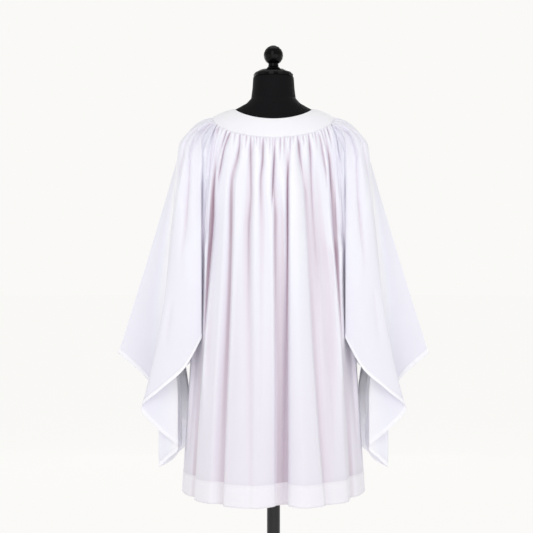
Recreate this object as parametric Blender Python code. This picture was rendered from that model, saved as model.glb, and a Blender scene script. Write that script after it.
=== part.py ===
"""A gathered choir surplice with winged sleeves, worn by a plain dress form on a round stand.

Metres, +Z up. The origin is the centre of the base's underside and the floor is z = 0.
The back of the garment faces -Y and its right sleeve, as the wearer would say, is at +X.
"""

import math

import bpy
import numpy as np

# Cloth
WALL = 0.0014
BODY_HEM_WALL = 0.0026
SLEEVE_HEM_WALL = 0.0020
SEAM_STEP = 0.0012  # from the yoke's edge to the start of the cloth sewn to it
RAGLAN_STEP = 0.0022  # from the body's armhole edge out to the sleeve's
SIDE_SEAM_STEP = 0.00025  # from the plane of the side seams to each body panel

# Heights
NECK_SIDE_Z = 1.4346
UNDERARM_Z = 1.1636
HEM_Z = 0.42
BODY_HEM_DEPTH = 0.054
SLEEVE_HEM_DEPTH = 0.012

# Yoke: each edge is an ellipse in plan that dips from the shoulder to the back and the front.
YOKE_EDGES = {
    # half width, back, front, height at the shoulder, dip at back, dip at front, how late it dips
    "neckline": (0.1036, 0.087, 0.095, NECK_SIDE_Z, 0.0366, 0.075, 1.4),
    "outer": (0.1613, 0.122, 0.135, NECK_SIDE_Z - 0.022, 0.066, 0.098, 1.15),
}
YOKE_CROWN = 0.003  # rise of the yoke's middle above a straight line from edge to edge
YOKE_COLUMNS = 48
YOKE_ROWS = (0.0, 0.5, 1.0)

# Armhole seams: they leave the yoke this far round from the shoulder line.
BODY_CORNER_DEG = 20.6
SLEEVE_CORNER_DEG = 19.8
RAGLAN_PATH = (
    # x, depth from the shoulder line, height at the back, at the front; from the yoke to the underarm
    (0.164, 0.060, 1.366, 1.361),
    (0.176, 0.080, 1.334, 1.330),
    (0.186, 0.096, 1.297, 1.293),
    (0.190, 0.082, 1.252, 1.250),
    (0.191, 0.050, 1.204, 1.204),
    (0.1895, 0.018, 1.170, 1.170),
    (0.188, 0.0, UNDERARM_Z, UNDERARM_Z),
)

# Body panels: columns are counted from the centre line, gathers are one crest and one valley each.
HEM_HALF_WIDTH = 0.2435
HEM_BACK = 0.225
HEM_FRONT = 0.232
YOKE_HALF_COLUMNS = 41
ARMHOLE_COLUMNS = 8
BODY_ROWS = (0.0, 0.015, 0.06, 0.14, 0.27, 0.45, 0.68)  # shares of the way down, above the hem
BODY_HEM_LEAD = 0.003  # share of the way down over which the wall thickens into the hem
BODY_FLARE = 1.3  # how early the cloth swings out below the middle of the yoke
SIDE_HANG = 0.6  # how late it swings out below the armholes
SHOULDER_PUSH = 0.018  # how far the shoulder blades push the cloth out beside the armholes
SHOULDER_PUSH_DROP = 0.022
SHOULDER_PUSH_WAY = (0.33, 0.94)  # its direction: share outwards, share to the back or front
PUSH_STARTS = 0.5  # share of the yoke's half where it begins
PUSH_ENDS = 0.125  # share of the armhole seam where it ends
CHEST_REACH = 0.35  # share of the flare at which the chest depths below hold
GATHER_SEAM = 0.0007  # half height of the gathers at the seam
GATHER_DEEP = 0.0020  # and at their deepest
GATHER_DEEPEST_AT = 0.015
GATHER_LENGTH = 0.12

BACK_FOLDS = (
    # name, column, degrees round the hem, out at the chest mm, out at the hem mm
    ("side_left", -49, -90.0, 0, 0),
    ("a_crest", -41, -67.5, -2, 2),
    ("a_valley", -29, -56.4, -14, -22),
    ("b_left", -27, -55.0, 8, 24),
    ("b_crest", -23, -41.7, 8, 28),
    ("b_valley", -19, -30.4, -7, 4),
    ("c_left", -17, -29.2, 6, 30),
    ("c_dip", -12, -19.0, -1, 34),
    ("c_crest", -9, -13.0, 5, 37),
    ("c_second_dip", -5, -7.5, -1, 25),
    ("c_right", 0, 0.3, 5, 0),
    ("slit", 2, 1.3, -7, -17),
    ("recess", 5, 5.0, -3, -17),
    ("recess_right", 8, 9.2, -13, -15),
    ("d_left", 10, 10.2, 5, 3),
    ("d_crest", 12, 20.0, 8, 35),
    ("d_right", 14, 30.2, 7, 31),
    ("d_valley", 16, 31.4, -5, 14),
    ("e_crest", 19, 37.0, 4, 22),
    ("e_dip", 22, 42.0, -3, 26),
    ("e_second_crest", 25, 49.5, 6, 30),
    ("e_right", 28, 52.6, 10, 8),
    ("f_valley", 30, 54.2, -13, -30),
    ("f_crest", 41, 67.0, -2, 2),
    ("side_right", 49, 90.0, 0, 0),
)
FRONT_FOLDS = (
    ("side_left", -49, -90.0, 0, 0),
    ("a_crest", -41, -68.0, -2, 3),
    ("a_valley", -30, -57.6, -13, -24),
    ("b_left", -28, -56.2, 9, 18),
    ("b_crest", -24, -46.0, 7, 26),
    ("b_valley", -20, -35.6, -8, 2),
    ("c_left", -18, -34.4, 6, 22),
    ("c_crest", -14, -24.0, 6, 32),
    ("c_valley", -9, -15.6, -9, 3),
    ("d_left", -7, -14.4, 6, 24),
    ("d_crest", -2, -3.0, 7, 30),
    ("d_right", 3, 7.6, 6, 22),
    ("d_valley", 5, 8.8, -9, -6),
    ("e_left", 9, 13.0, 0, 8),
    ("e_crest", 13, 22.0, 7, 30),
    ("e_right", 17, 31.6, 7, 24),
    ("e_valley", 19, 32.8, -8, 0),
    ("f_crest", 24, 44.0, 6, 24),
    ("f_right", 28, 54.6, 9, 18),
    ("f_valley", 30, 56.4, -13, -25),
    ("g_crest", 41, 67.0, -2, 3),
    ("side_right", 49, 90.0, 0, 0),
)

# Sleeves: half of the hem, from the underarm round the back to the outer tip. The front half mirrors it.
SLEEVE_FOLDS = (
    # name, column, x below the shoulder, hem x, hem depth, hem height, hem x if unfolded, power, reach
    ("underarm", 0, 0.190, 0.228, 0.000, 0.8300, 0.228, 1.0, 1.0),
    ("inner_side", 3, 0.192, 0.231, 0.072, 0.8298, 0.231, 1.0, 1.0),
    ("inner_edge", 5, 0.1875, 0.184, 0.115, 0.8296, 0.184, 1.0, 1.0),
    ("near_face", 7, 0.214, 0.228, 0.125, 0.7507, 0.2195, 2.4, 1.0),
    ("near_outer", 9, 0.236, 0.2925, 0.118, 0.6935, 0.262, 2.4, 1.0),
    ("first_fold", 11, 0.2505, 0.3416, 0.100, 0.6449, 0.2988, 2.4, 1.0),
    ("first_return", 13, 0.2545, 0.297, 0.085, 0.5882, 0.303, 2.0, 1.0),
    ("first_tuck", 15, 0.2565, 0.2482, 0.072, 0.5392, 0.3123, 2.0, 0.78),
    ("second_out", 17, 0.2572, 0.2732, 0.060, 0.5110, 0.3215, 2.0, 0.85),
    ("point", 19, 0.2576, 0.300, 0.050, 0.4855, 0.3305, 2.4, 1.0),
    ("second_return", 21, 0.2578, 0.2616, 0.038, 0.5071, 0.340, 2.0, 0.9),
    ("second_tuck", 23, 0.2579, 0.2420, 0.028, 0.5533, 0.349, 2.0, 0.8),
    ("third_out", 25, 0.258, 0.298, 0.018, 0.6580, 0.361, 2.4, 1.0),
    ("third_outer", 27, 0.258, 0.3386, 0.012, 0.7160, 0.383, 2.4, 1.0),
    ("tip", 30, 0.258, 0.416, 0.000, 0.7818, 0.416, 1.0, 1.0),
)
INNER_EDGE_COLUMN = 5
CORNER_COLUMN = 11
INNER_EDGE_ON_RAGLAN = 0.40  # share of the armhole seam between the yoke and the sleeve's inner edge
SLEEVE_ROWS_DOWN = (0.24, 0.48, 0.67, 0.84)
SLEEVE_HEM_LEAD = 0.006
SHOULDER_ROWS_DEG = (0.0, 12.0, 48.0, 90.0)
SHOULDER_DEPTH_SHARE = 0.9  # depth of the sleeve at the shoulder over its depth at the hem
INNER_KNEE_DROP = 0.12  # shares of the way to the hem, on the side that faces the body
INNER_KNEE_SWING = 0.26
SHOULDER_BREAK_Z = 1.300
LEAST_SHOULDER_DROP = 0.05
SHOULDER_ROUNDNESS = 0.86  # 1 is a quarter ellipse over the shoulder, 0 a straight slope

# Dress form and stand
FORM_CLEARANCE = 0.0004  # under the yoke
FORM_EDGE_CLEARANCE = 0.0024  # under the yoke's outer edge, clear of the gathers
FORM_COLUMNS = YOKE_COLUMNS
TORSO_DIP_LATENESS = 1.15
PIECE_GAP = 0.0003  # between the pole and what it meets
NECK_RINGS = (
    # radius, height, share of the way from a round neck to the yoke's neckline
    (0.0545, 1.5190, 0.0),
    (0.0565, 1.4900, 0.0),
    (0.0600, 1.4630, 0.0),
    (0.0680, 1.4520, 0.12),
)
TORSO_RINGS = (
    # half width, back, front, height at the side, dip at back, at front, squareness of the shoulder
    (0.1780, 0.1230, 0.1340, 1.3990, 0.090, 0.120, 1.35),
    (0.1840, 0.1240, 0.1360, 1.3720, 0.100, 0.125, 1.60),
    (0.1840, 0.1240, 0.1370, 1.3300, 0.095, 0.115, 1.55),
    (0.1740, 0.1200, 0.1360, 1.2500, 0.065, 0.075, 1.20),
    (0.1660, 0.1120, 0.1300, 1.1500, 0.030, 0.030, 1.00),
    (0.1440, 0.0960, 0.1080, 0.9900, 0.0, 0.0, 1.0),
    (0.1620, 0.1120, 0.1120, 0.8500, 0.0, 0.0, 1.0),
    (0.1600, 0.1100, 0.1100, 0.8050, 0.0, 0.0, 1.0),
    (0.1500, 0.1010, 0.1010, 0.7950, 0.0, 0.0, 1.0),
)
CAP_PROFILE = ((0.0, 1.5193), (0.0520, 1.5193), (0.0535, 1.5210), (0.0535, 1.5275), (0.0500, 1.5320),
               (0.0380, 1.5385), (0.0210, 1.5425), (0.0, 1.5430))
FINIAL_FOOT_PROFILE = ((0.0, 1.5433), (0.0190, 1.5433), (0.0185, 1.5450), (0.0145, 1.5490))
BALL_RADIUS = 0.0265
BALL_Z = 1.5793
BALL_NECK_DEG = 30.0
POLE_RADIUS = 0.0175
BASE_RADIUS = 0.21
BASE_PROFILE = ((0.0, 0.0), (0.207, 0.0), (BASE_RADIUS, 0.003), (BASE_RADIUS, 0.013), (0.206, 0.017),
                (0.045, 0.020), (0.034, 0.026), (0.030, 0.045), (0.0, 0.045))
BALL_RINGS = 9
TURNED_SEGMENTS = 28
SHARP_EDGE_DEG = 50.0

MATERIALS = {
    # colour, roughness, metallic
    "white_cloth": ((0.82, 0.80, 0.87), 0.85, 0.0),
    "matte_black": ((0.02, 0.02, 0.022), 0.55, 0.0),
    "gloss_black": ((0.012, 0.012, 0.014), 0.12, 0.0),
    "black_steel": ((0.03, 0.03, 0.032), 0.35, 0.9),
}


def smooth_through(stations, values, at):
    """Values at the places asked for, on a curve through the stations that never overshoots them."""
    x = np.asarray(stations, float)
    y = np.asarray(values, float)
    step = np.diff(x)
    slope = np.diff(y) / step
    tangent = np.zeros_like(y)
    same_way = slope[:-1] * slope[1:] > 0
    before = 2 * step[1:] + step[:-1]
    after = step[1:] + 2 * step[:-1]
    with np.errstate(divide="ignore", invalid="ignore"):
        mean = (before + after) / (before / slope[:-1] + after / slope[1:])
    tangent[1:-1] = np.where(same_way, mean, 0.0)
    tangent[0] = slope[0]
    tangent[-1] = slope[-1]
    at = np.asarray(at, float)
    i = np.clip(np.searchsorted(x, at, side="right") - 1, 0, len(x) - 2)
    s = (at - x[i]) / step[i]
    rise = s * s * (3 - 2 * s)
    leave = s * (1 - s) ** 2
    arrive = s * s * (s - 1)
    return y[i] + (y[i + 1] - y[i]) * rise + step[i] * (leave * tangent[i] + arrive * tangent[i + 1])


def ring_point(ring, turn, shoulder_power=1.0):
    """A point of an oval ring. Turn is in radians: 0 at +X, a quarter turn at the front."""
    half_width, back, front, side_z, back_dip, front_dip, late = ring
    sine = math.sin(turn)
    depth, dip = (front, front_dip) if sine > 0 else (back, back_dip)
    reach = abs(sine) ** shoulder_power
    height = side_z - dip * abs(sine) ** late
    return np.array([half_width * math.cos(turn), math.copysign(depth * reach, sine), height])


def yoke_point(turn, across):
    """A point of the yoke's middle surface: across runs from 0 at the neckline to 1 at the outer edge."""
    inner = ring_point(YOKE_EDGES["neckline"], turn)
    outer = ring_point(YOKE_EDGES["outer"], turn)
    crown = YOKE_CROWN * 4 * across * (1 - across)
    return inner + (outer - inner) * across + np.array([0.0, 0.0, crown])


def below_yoke(turn):
    """Where cloth sewn to the yoke starts: just past the outer edge, on the yoke's own slope."""
    near_edge = 0.95
    edge = yoke_point(turn, 1.0)
    slope = edge - yoke_point(turn, near_edge)
    return edge + slope / np.linalg.norm(slope) * SEAM_STEP


def armhole_point(share, is_front):
    """A point of the right armhole seam: share runs from 0 at the yoke's corner to 1 at the underarm."""
    face = 1.0 if is_front else -1.0
    corner = below_yoke(face * math.radians(BODY_CORNER_DEG))
    path = [corner]
    for x, depth, back_z, front_z in RAGLAN_PATH:
        path.append((x, face * depth, front_z if is_front else back_z))
    path = np.array(path)
    steps = np.linalg.norm(np.diff(path, axis=0), axis=1)
    length = np.concatenate([[0.0], np.cumsum(steps)])
    return np.array([smooth_through(length, path[:, axis], share * length[-1]) for axis in range(3)])


def gather_depth(distance):
    """Half height of the gathers at a distance below the seam they are sewn into."""
    rise = min(distance / GATHER_DEEPEST_AT, 1.0)
    fade = max(0.0, 1.0 - distance / GATHER_LENGTH)
    return (GATHER_SEAM + (GATHER_DEEP - GATHER_SEAM) * rise) * fade


def body_panel_grid(folds, is_front):
    """Rows of points from the yoke and the armholes down to the hem, for one of the two body panels."""
    face = 1.0 if is_front else -1.0
    hem_depth = HEM_FRONT if is_front else HEM_BACK
    half_columns = YOKE_HALF_COLUMNS + ARMHOLE_COLUMNS
    columns = np.arange(-half_columns, half_columns + 1)
    stations = [fold[1] for fold in folds]
    hem_deg = smooth_through(stations, [fold[2] for fold in folds], columns)
    chest_out = smooth_through(stations, [fold[3] / 1000 for fold in folds], columns)
    hem_out = smooth_through(stations, [fold[4] / 1000 for fold in folds], columns)
    band = BODY_HEM_DEPTH / (YOKE_EDGES["outer"][3] - HEM_Z)
    rows = BODY_ROWS + (1 - band - BODY_HEM_LEAD, 1 - band, 1.0)
    grid = np.zeros((len(rows), len(columns), 3))
    for j, column in enumerate(columns):
        side = math.copysign(1.0, column)
        yoke_share = min(abs(column) / YOKE_HALF_COLUMNS, 1.0)
        turn = math.radians(90.0 - yoke_share * (90.0 - BODY_CORNER_DEG))
        armhole_share = max(0.0, (abs(column) - YOKE_HALF_COLUMNS) / ARMHOLE_COLUMNS)
        if abs(column) <= YOKE_HALF_COLUMNS:
            top = below_yoke(face * turn)
        else:
            top = armhole_point(armhole_share, is_front)
        top[0] *= side
        around = math.radians(hem_deg[j])
        hem = np.array([HEM_HALF_WIDTH * math.sin(around), face * hem_depth * math.cos(around), HEM_Z])
        outward = np.array([side * math.cos(turn), face * math.sin(turn), 0.0])
        flare = BODY_FLARE * math.cos(around) ** 2 - SIDE_HANG * math.sin(around) ** 2
        on_yoke = abs(column) < YOKE_HALF_COLUMNS
        if on_yoke:
            push = SHOULDER_PUSH * max(0.0, (yoke_share - PUSH_STARTS) / (1 - PUSH_STARTS)) ** 2
        else:
            push = SHOULDER_PUSH * max(0.0, 1 - armhole_share / PUSH_ENDS)
        push_way = np.array([side * SHOULDER_PUSH_WAY[0], face * SHOULDER_PUSH_WAY[1], 0.0])
        for i, down in enumerate(rows):
            swing = down + flare * down * (1 - down) ** 3
            point = top + (hem - top) * np.array([swing, swing, down])
            out = np.interp(swing, (0.0, CHEST_REACH, 1.0), (0.0, chest_out[j], hem_out[j]))
            point[1] += face * out
            drop = down * (top[2] - HEM_Z)
            point += push_way * push * (1 - math.exp(-drop / SHOULDER_PUSH_DROP)) * (1 - down)
            if on_yoke:
                crest_or_valley = 1 if column % 2 else -1
                point += outward * gather_depth(drop) * crest_or_valley
            point[1] += face * SIDE_SEAM_STEP
            grid[i, j] = point
    is_hem = np.arange(len(rows)) >= len(rows) - 2
    return grid, is_hem


def sleeve_half_grid(is_front):
    """Rows of points of the right sleeve's back or front half, from the underarm to the outer tip."""
    face = 1.0 if is_front else -1.0
    stations = [fold[1] for fold in SLEEVE_FOLDS]
    columns = np.arange(0, stations[-1] + 1)
    shoulder_x, hem_x, depth, hem_z = (
        smooth_through(stations, [fold[k] for fold in SLEEVE_FOLDS], columns) for k in (2, 3, 4, 5)
    )
    folded = np.array([fold[3] for fold in SLEEVE_FOLDS])
    unfolded = np.array([fold[6] for fold in SLEEVE_FOLDS])
    hem_length = SHOULDER_BREAK_Z - hem_z
    band = SLEEVE_HEM_DEPTH / hem_length
    rows = len(SHOULDER_ROWS_DEG) + len(SLEEVE_ROWS_DOWN) + 3
    grid = np.zeros((rows, len(columns), 3))
    for j in columns:
        if j <= INNER_EDGE_COLUMN:
            share = 1 - (1 - INNER_EDGE_ON_RAGLAN) * j / INNER_EDGE_COLUMN
        else:
            share = INNER_EDGE_ON_RAGLAN * (CORNER_COLUMN - j) / (CORNER_COLUMN - INNER_EDGE_COLUMN)
        if j <= CORNER_COLUMN:
            seam = armhole_point(share, is_front)
            outward = seam * np.array([1.0, 1.0, 0.0])
            top = seam + outward / np.linalg.norm(outward) * RAGLAN_STEP
        else:
            turn = math.radians(SLEEVE_CORNER_DEG) * (columns[-1] - j) / (columns[-1] - CORNER_COLUMN)
            top = below_yoke(face * turn)
            outward = np.array([math.cos(turn), face * math.sin(turn), 0.0])
        hem = np.array([hem_x[j], face * depth[j], hem_z[j]])
        if j < INNER_EDGE_COLUMN:
            knee = top + (hem - top) * np.array([INNER_KNEE_SWING, INNER_KNEE_SWING, INNER_KNEE_DROP])
        else:
            knee_z = min(SHOULDER_BREAK_Z, top[2] - LEAST_SHOULDER_DROP)
            knee = np.array([shoulder_x[j], face * depth[j] * SHOULDER_DEPTH_SHARE, knee_z])
        points = []
        for degrees in SHOULDER_ROWS_DEG:
            angle = math.radians(degrees)
            quarter = np.array([math.sin(angle), math.sin(angle), 1 - math.cos(angle)])
            share = SHOULDER_ROUNDNESS * quarter + (1 - SHOULDER_ROUNDNESS) * degrees / 90.0
            point = top + (knee - top) * share
            if j > CORNER_COLUMN:
                crest_or_valley = (0, 1, 0, -1)[j % 4]
                point = point + outward * gather_depth(np.linalg.norm(point - top)) * crest_or_valley
            points.append(point)
        for down in SLEEVE_ROWS_DOWN + (1 - band[j] - SLEEVE_HEM_LEAD, 1 - band[j], 1.0):
            reach = [min(down / fold[8], 1.0) ** fold[7] for fold in SLEEVE_FOLDS]
            end_x = smooth_through(stations, unfolded + (folded - unfolded) * reach, j)
            end = np.array([end_x, hem[1], hem[2]])
            points.append(knee + (end - knee) * down)
        grid[:, j] = points
    is_hem = np.arange(rows) >= rows - 2
    return grid, is_hem


def sleeve_grid(side):
    """The whole sleeve as rings: the back half, then the front half run back to the underarm."""
    back, is_hem = sleeve_half_grid(False)
    front, _ = sleeve_half_grid(True)
    grid = np.concatenate([back, front[:, -2:0:-1]], axis=1)
    grid[:, :, 0] *= side
    return grid, is_hem


def grid_faces(rows, columns, closed):
    """Quads between neighbouring rows of points."""
    span = columns if closed else columns - 1
    faces = []
    for i in range(rows - 1):
        here = i * columns
        below = here + columns
        for j in range(span):
            after = (j + 1) % columns
            faces.append((here + j, here + after, below + after, below + j))
    return faces


def finish_node(name, mesh, material):
    """Wraps a mesh as a named, smooth-shaded object with its own material."""
    colour, roughness, metallic = MATERIALS[material]
    mesh.validate()
    mesh.shade_smooth()
    mesh.set_sharp_from_angle(angle=math.radians(SHARP_EDGE_DEG))
    node = bpy.data.objects.new(name, mesh)
    bpy.context.scene.collection.objects.link(node)
    surface = bpy.data.materials.new(f"{name}_{material}")
    surface.use_nodes = True
    shader = surface.node_tree.nodes["Principled BSDF"]
    shader.inputs["Base Color"].default_value = (*colour, 1.0)
    shader.inputs["Roughness"].default_value = roughness
    shader.inputs["Metallic"].default_value = metallic
    mesh.materials.append(surface)
    return node


def cloth_node(name, grid, closed, flip, is_hem=None, hem_wall=WALL):
    """A cloth wall on a grid of points, thicker along its hem."""
    rows, columns, _ = grid.shape
    faces = grid_faces(rows, columns, closed)
    if flip:
        faces = [face[::-1] for face in faces]
    mesh = bpy.data.meshes.new(name)
    mesh.from_pydata(grid.reshape(-1, 3).tolist(), [], faces)
    node = finish_node(name, mesh, "white_cloth")
    wall = node.modifiers.new("wall", "SOLIDIFY")
    wall.thickness = WALL
    wall.offset = 0.0
    if is_hem is not None:
        hem = node.vertex_groups.new(name="hem")
        points = np.arange(rows * columns).reshape(rows, columns)[is_hem].ravel()
        hem.add(points.tolist(), 1.0, "REPLACE")
        wall.thickness = hem_wall
        wall.vertex_group = "hem"
        wall.thickness_vertex_group = WALL / hem_wall
    return node


def add_yoke():
    turns = [2 * math.pi * j / YOKE_COLUMNS for j in range(YOKE_COLUMNS)]
    grid = np.array([[yoke_point(turn, across) for turn in turns] for across in YOKE_ROWS])
    cloth_node("yoke", grid, closed=True, flip=True)


def add_body():
    back, is_hem = body_panel_grid(BACK_FOLDS, is_front=False)
    cloth_node("body_back", back, closed=False, flip=False, is_hem=is_hem, hem_wall=BODY_HEM_WALL)
    front, is_hem = body_panel_grid(FRONT_FOLDS, is_front=True)
    cloth_node("body_front", front, closed=False, flip=True, is_hem=is_hem, hem_wall=BODY_HEM_WALL)


def add_sleeves():
    for name, side in (("sleeve_left", -1.0), ("sleeve_right", 1.0)):
        grid, is_hem = sleeve_grid(side)
        cloth_node(name, grid, closed=True, flip=side > 0, is_hem=is_hem, hem_wall=SLEEVE_HEM_WALL)


def capped_rings(name, rings, material):
    """A closed solid through rings of points from the top down, with flat ends."""
    rows, columns, _ = rings.shape
    faces = grid_faces(rows, columns, closed=True)
    faces.append(tuple(range(columns))[::-1])
    faces.append(tuple(range((rows - 1) * columns, rows * columns)))
    mesh = bpy.data.meshes.new(name)
    mesh.from_pydata(rings.reshape(-1, 3).tolist(), [], [face[::-1] for face in faces])
    return finish_node(name, mesh, material)


def under_yoke_ring(turns, across, clearance):
    """Points below the yoke's underside, square to its slope."""
    nudge = 0.02
    ring = []
    for turn in turns:
        here = yoke_point(turn, across)
        down_slope = yoke_point(turn, across + nudge) - yoke_point(turn, across - nudge)
        along = yoke_point(turn + nudge, across) - yoke_point(turn - nudge, across)
        normal = np.cross(down_slope, along)
        ring.append(here - normal / np.linalg.norm(normal) * (WALL / 2 + clearance))
    return ring


def add_torso():
    turns = [2 * math.pi * j / FORM_COLUMNS for j in range(FORM_COLUMNS)]
    neckline = under_yoke_ring(turns, 0.0, FORM_CLEARANCE)
    rings = []
    for radius, height, blend in NECK_RINGS:
        circle = [np.array([radius * math.cos(t), radius * math.sin(t), height]) for t in turns]
        rings.append([(1 - blend) * c + blend * n for c, n in zip(circle, neckline)])
    rings.append(neckline)
    rings.append(under_yoke_ring(turns, 0.5, FORM_CLEARANCE))
    rings.append(under_yoke_ring(turns, 1.0, FORM_EDGE_CLEARANCE))
    for ring in TORSO_RINGS:
        *oval, shoulder_power = ring
        rings.append([ring_point((*oval, TORSO_DIP_LATENESS), t, shoulder_power) for t in turns])
    capped_rings("form_torso", np.array(rings), "matte_black")


def turned(name, profile, material):
    """A solid turned about the vertical axis from a profile of (radius, height), bottom to top."""
    mesh = bpy.data.meshes.new(name)
    points = [(0.0, 0.0, profile[0][1])]
    faces = []
    turns = [2 * math.pi * j / TURNED_SEGMENTS for j in range(TURNED_SEGMENTS)]
    middle = profile[1:-1]
    for radius, height in middle:
        points += [(radius * math.cos(t), radius * math.sin(t), height) for t in turns]
    points.append((0.0, 0.0, profile[-1][1]))
    for j in range(TURNED_SEGMENTS):
        after = (j + 1) % TURNED_SEGMENTS
        faces.append((0, 1 + after, 1 + j))
        last = 1 + (len(middle) - 1) * TURNED_SEGMENTS
        faces.append((len(points) - 1, last + j, last + after))
        for i in range(len(middle) - 1):
            low = 1 + i * TURNED_SEGMENTS
            high = low + TURNED_SEGMENTS
            faces.append((low + j, low + after, high + after, high + j))
    mesh.from_pydata(points, [], faces)
    return finish_node(name, mesh, material)


def add_finial():
    ball = []
    for degrees in np.linspace(BALL_NECK_DEG, 180.0, BALL_RINGS):
        angle = math.radians(degrees)
        ball.append((BALL_RADIUS * math.sin(angle), BALL_Z - BALL_RADIUS * math.cos(angle)))
    turned("form_finial", FINIAL_FOOT_PROFILE + tuple(ball), "gloss_black")


def add_stand():
    turned("form_neck_cap", CAP_PROFILE, "gloss_black")
    add_finial()
    foot = BASE_PROFILE[-1][1] + PIECE_GAP
    head = TORSO_RINGS[-1][3] - PIECE_GAP
    pole_profile = ((0.0, foot), (POLE_RADIUS, foot), (POLE_RADIUS, head), (0.0, head))
    turned("stand_pole", pole_profile, "black_steel")
    turned("stand_base", BASE_PROFILE, "black_steel")


def main():
    for old in list(bpy.data.objects):
        bpy.data.objects.remove(old, do_unlink=True)
    add_yoke()
    add_body()
    add_sleeves()
    add_torso()
    add_stand()


main()
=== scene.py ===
"""The looks of a gathered surplice on a dress form: thin cloth, sewing, finishes, light and camera.

Metres, +Z up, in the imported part's frame. The garment's back faces -Y, towards the camera. A span is
a pair: where something starts to grow, and over how much it grows to the full.
"""
import math

import bpy
import numpy as np
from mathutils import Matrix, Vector


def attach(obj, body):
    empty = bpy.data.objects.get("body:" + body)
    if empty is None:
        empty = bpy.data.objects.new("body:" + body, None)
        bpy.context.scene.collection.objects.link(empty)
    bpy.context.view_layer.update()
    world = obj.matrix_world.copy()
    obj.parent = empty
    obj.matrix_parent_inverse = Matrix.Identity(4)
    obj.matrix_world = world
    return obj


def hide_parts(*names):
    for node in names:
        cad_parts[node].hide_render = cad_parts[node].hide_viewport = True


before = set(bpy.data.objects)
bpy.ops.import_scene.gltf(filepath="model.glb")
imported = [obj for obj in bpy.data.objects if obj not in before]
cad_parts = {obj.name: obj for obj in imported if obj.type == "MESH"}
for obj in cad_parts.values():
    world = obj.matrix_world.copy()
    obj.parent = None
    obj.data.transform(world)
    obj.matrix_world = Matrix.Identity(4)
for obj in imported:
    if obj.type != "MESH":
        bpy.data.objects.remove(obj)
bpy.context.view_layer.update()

BACK, FRONT = -1.0, 1.0  # the way a body panel or a sleeve's half faces, along Y
MM = 1000  # in a metre
TINY = 1e-9

# Garment sizes, the same as in the part
NECK_SIDE_Z = 1.4346
UNDERARM_Z = 1.1636
HEM_Z = 0.42
BODY_HEM_DEPTH = 0.054
SLEEVE_HEM_DEPTH = 0.012
# Oval rings: half width, depth back and front, height at the sides, dip back and front, its lateness
NECKLINE = (0.1036, 0.087, 0.095, NECK_SIDE_Z, 0.0366, 0.075, 1.4)
YOKE_EDGE = (0.1613, 0.122, 0.135, NECK_SIDE_Z - 0.022, 0.066, 0.098, 1.15)
YOKE_CROWN = 0.003
BODY_CORNER_DEG = 20.6  # round the yoke from the side
SLEEVE_CORNER_DEG = 19.8
RAGLAN_PATH = (
    # x, depth from the shoulder line, height at the back, at the front; from the yoke to the underarm
    (0.164, 0.060, 1.366, 1.361),
    (0.176, 0.080, 1.334, 1.330),
    (0.186, 0.096, 1.297, 1.293),
    (0.190, 0.082, 1.252, 1.250),
    (0.191, 0.050, 1.204, 1.204),
    (0.1895, 0.018, 1.170, 1.170),
    (0.188, 0.0, UNDERARM_Z, UNDERARM_Z),
)
HEM_HALF_WIDTH = 0.2435
HEM_DEPTHS = {BACK: 0.225, FRONT: 0.232}
YOKE_HALF_COLUMNS = 41
ARMHOLE_COLUMNS = 8
COLUMN_WIDTH = 0.0043  # along the yoke's edge
BODY_FLARE = 1.3
FLARE_POWER = 3
SIDE_HANG = 0.6
SHOULDER_PUSH = 0.018
SHOULDER_PUSH_DROP = 0.022
SHOULDER_PUSH_WAY = (0.33, 0.94)
PUSH_STARTS = 0.5  # share of the yoke's edge
PUSH_ENDS = 0.125  # share of the armhole
CHEST_REACH = 0.35  # share of the way down where the chest's folds are full
CHEST_EASED = 0.5  # how much of their growth is eased
SIDE_SEAM_STEP = 0.0002

# Cloth
CLOTH_WALL = 0.0006
YOKE_WALL = 0.0014
HEM_TURN = 0.0005  # how far the turned-up hem stands out
HEM_TURN_LEAD = 0.0008  # over this height
SLEEVE_HEM_TURN = HEM_TURN * 0.7
TUCK_UNDER = 0.0005  # how far the gathers start below the yoke
GATHER_STARTS = 0.004  # gathers have their full depth this far below the seam
GATHER_AT_SEAM = 0.4  # and this share of it at the seam
GATHER_WIDENING = 2.2  # by how many of its widths a gather widens, over the reach
GATHER_WIDENING_REACH = 0.3
RELIEF_AT_SEAM = 0.3  # share of the body's relief
RELIEF_ROOM = 0.0024  # the most that cloth sinks in at the seam
RELIEF_ROOM_SLOPE = 0.15  # and how much more for each metre below it
SIDEWAYS_SHARE = 0.5  # how much of the gathers' relief moves cloth sideways
GATHER_PUFF = 0.0065  # how far the gathered cloth stands out below the yoke, on the whole
GATHER_PUFF_REACH = 0.16
PUFF_FADES = (36, 8)  # span, in columns from the middle
ARMHOLE_RELIEF = (0.0, 0.008)  # span below the armhole seam
SIDE_CALM = (YOKE_HALF_COLUMNS + ARMHOLE_COLUMNS - 2.5, 2)
TROUGH_ROUND = 0.5  # the rounding of a crease's bottom, in half widths
CREASE_LEAN_REACH = 0.002  # the height over which a drawn crease's lean is measured
CREASE_START = 0.15  # how far into its onset it begins
CREASE_FADES = (0.45, 0.55)  # span of its length

# Fineness of the shells
BODY_COLUMNS_FINE = 5
BODY_ROWS = 88
BODY_ROW_POWER = 1.6
BODY_BAND_ROWS = 8
SLEEVE_COLUMN_RUNS = ((0, 4, 3), (4, 12, 10), (12, 30, 4))  # from, to, fine columns in each
SLEEVE_ROWS = 130
SLEEVE_ROW_POWER = 1.5
SLEEVE_BAND_ROWS = 5

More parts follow.
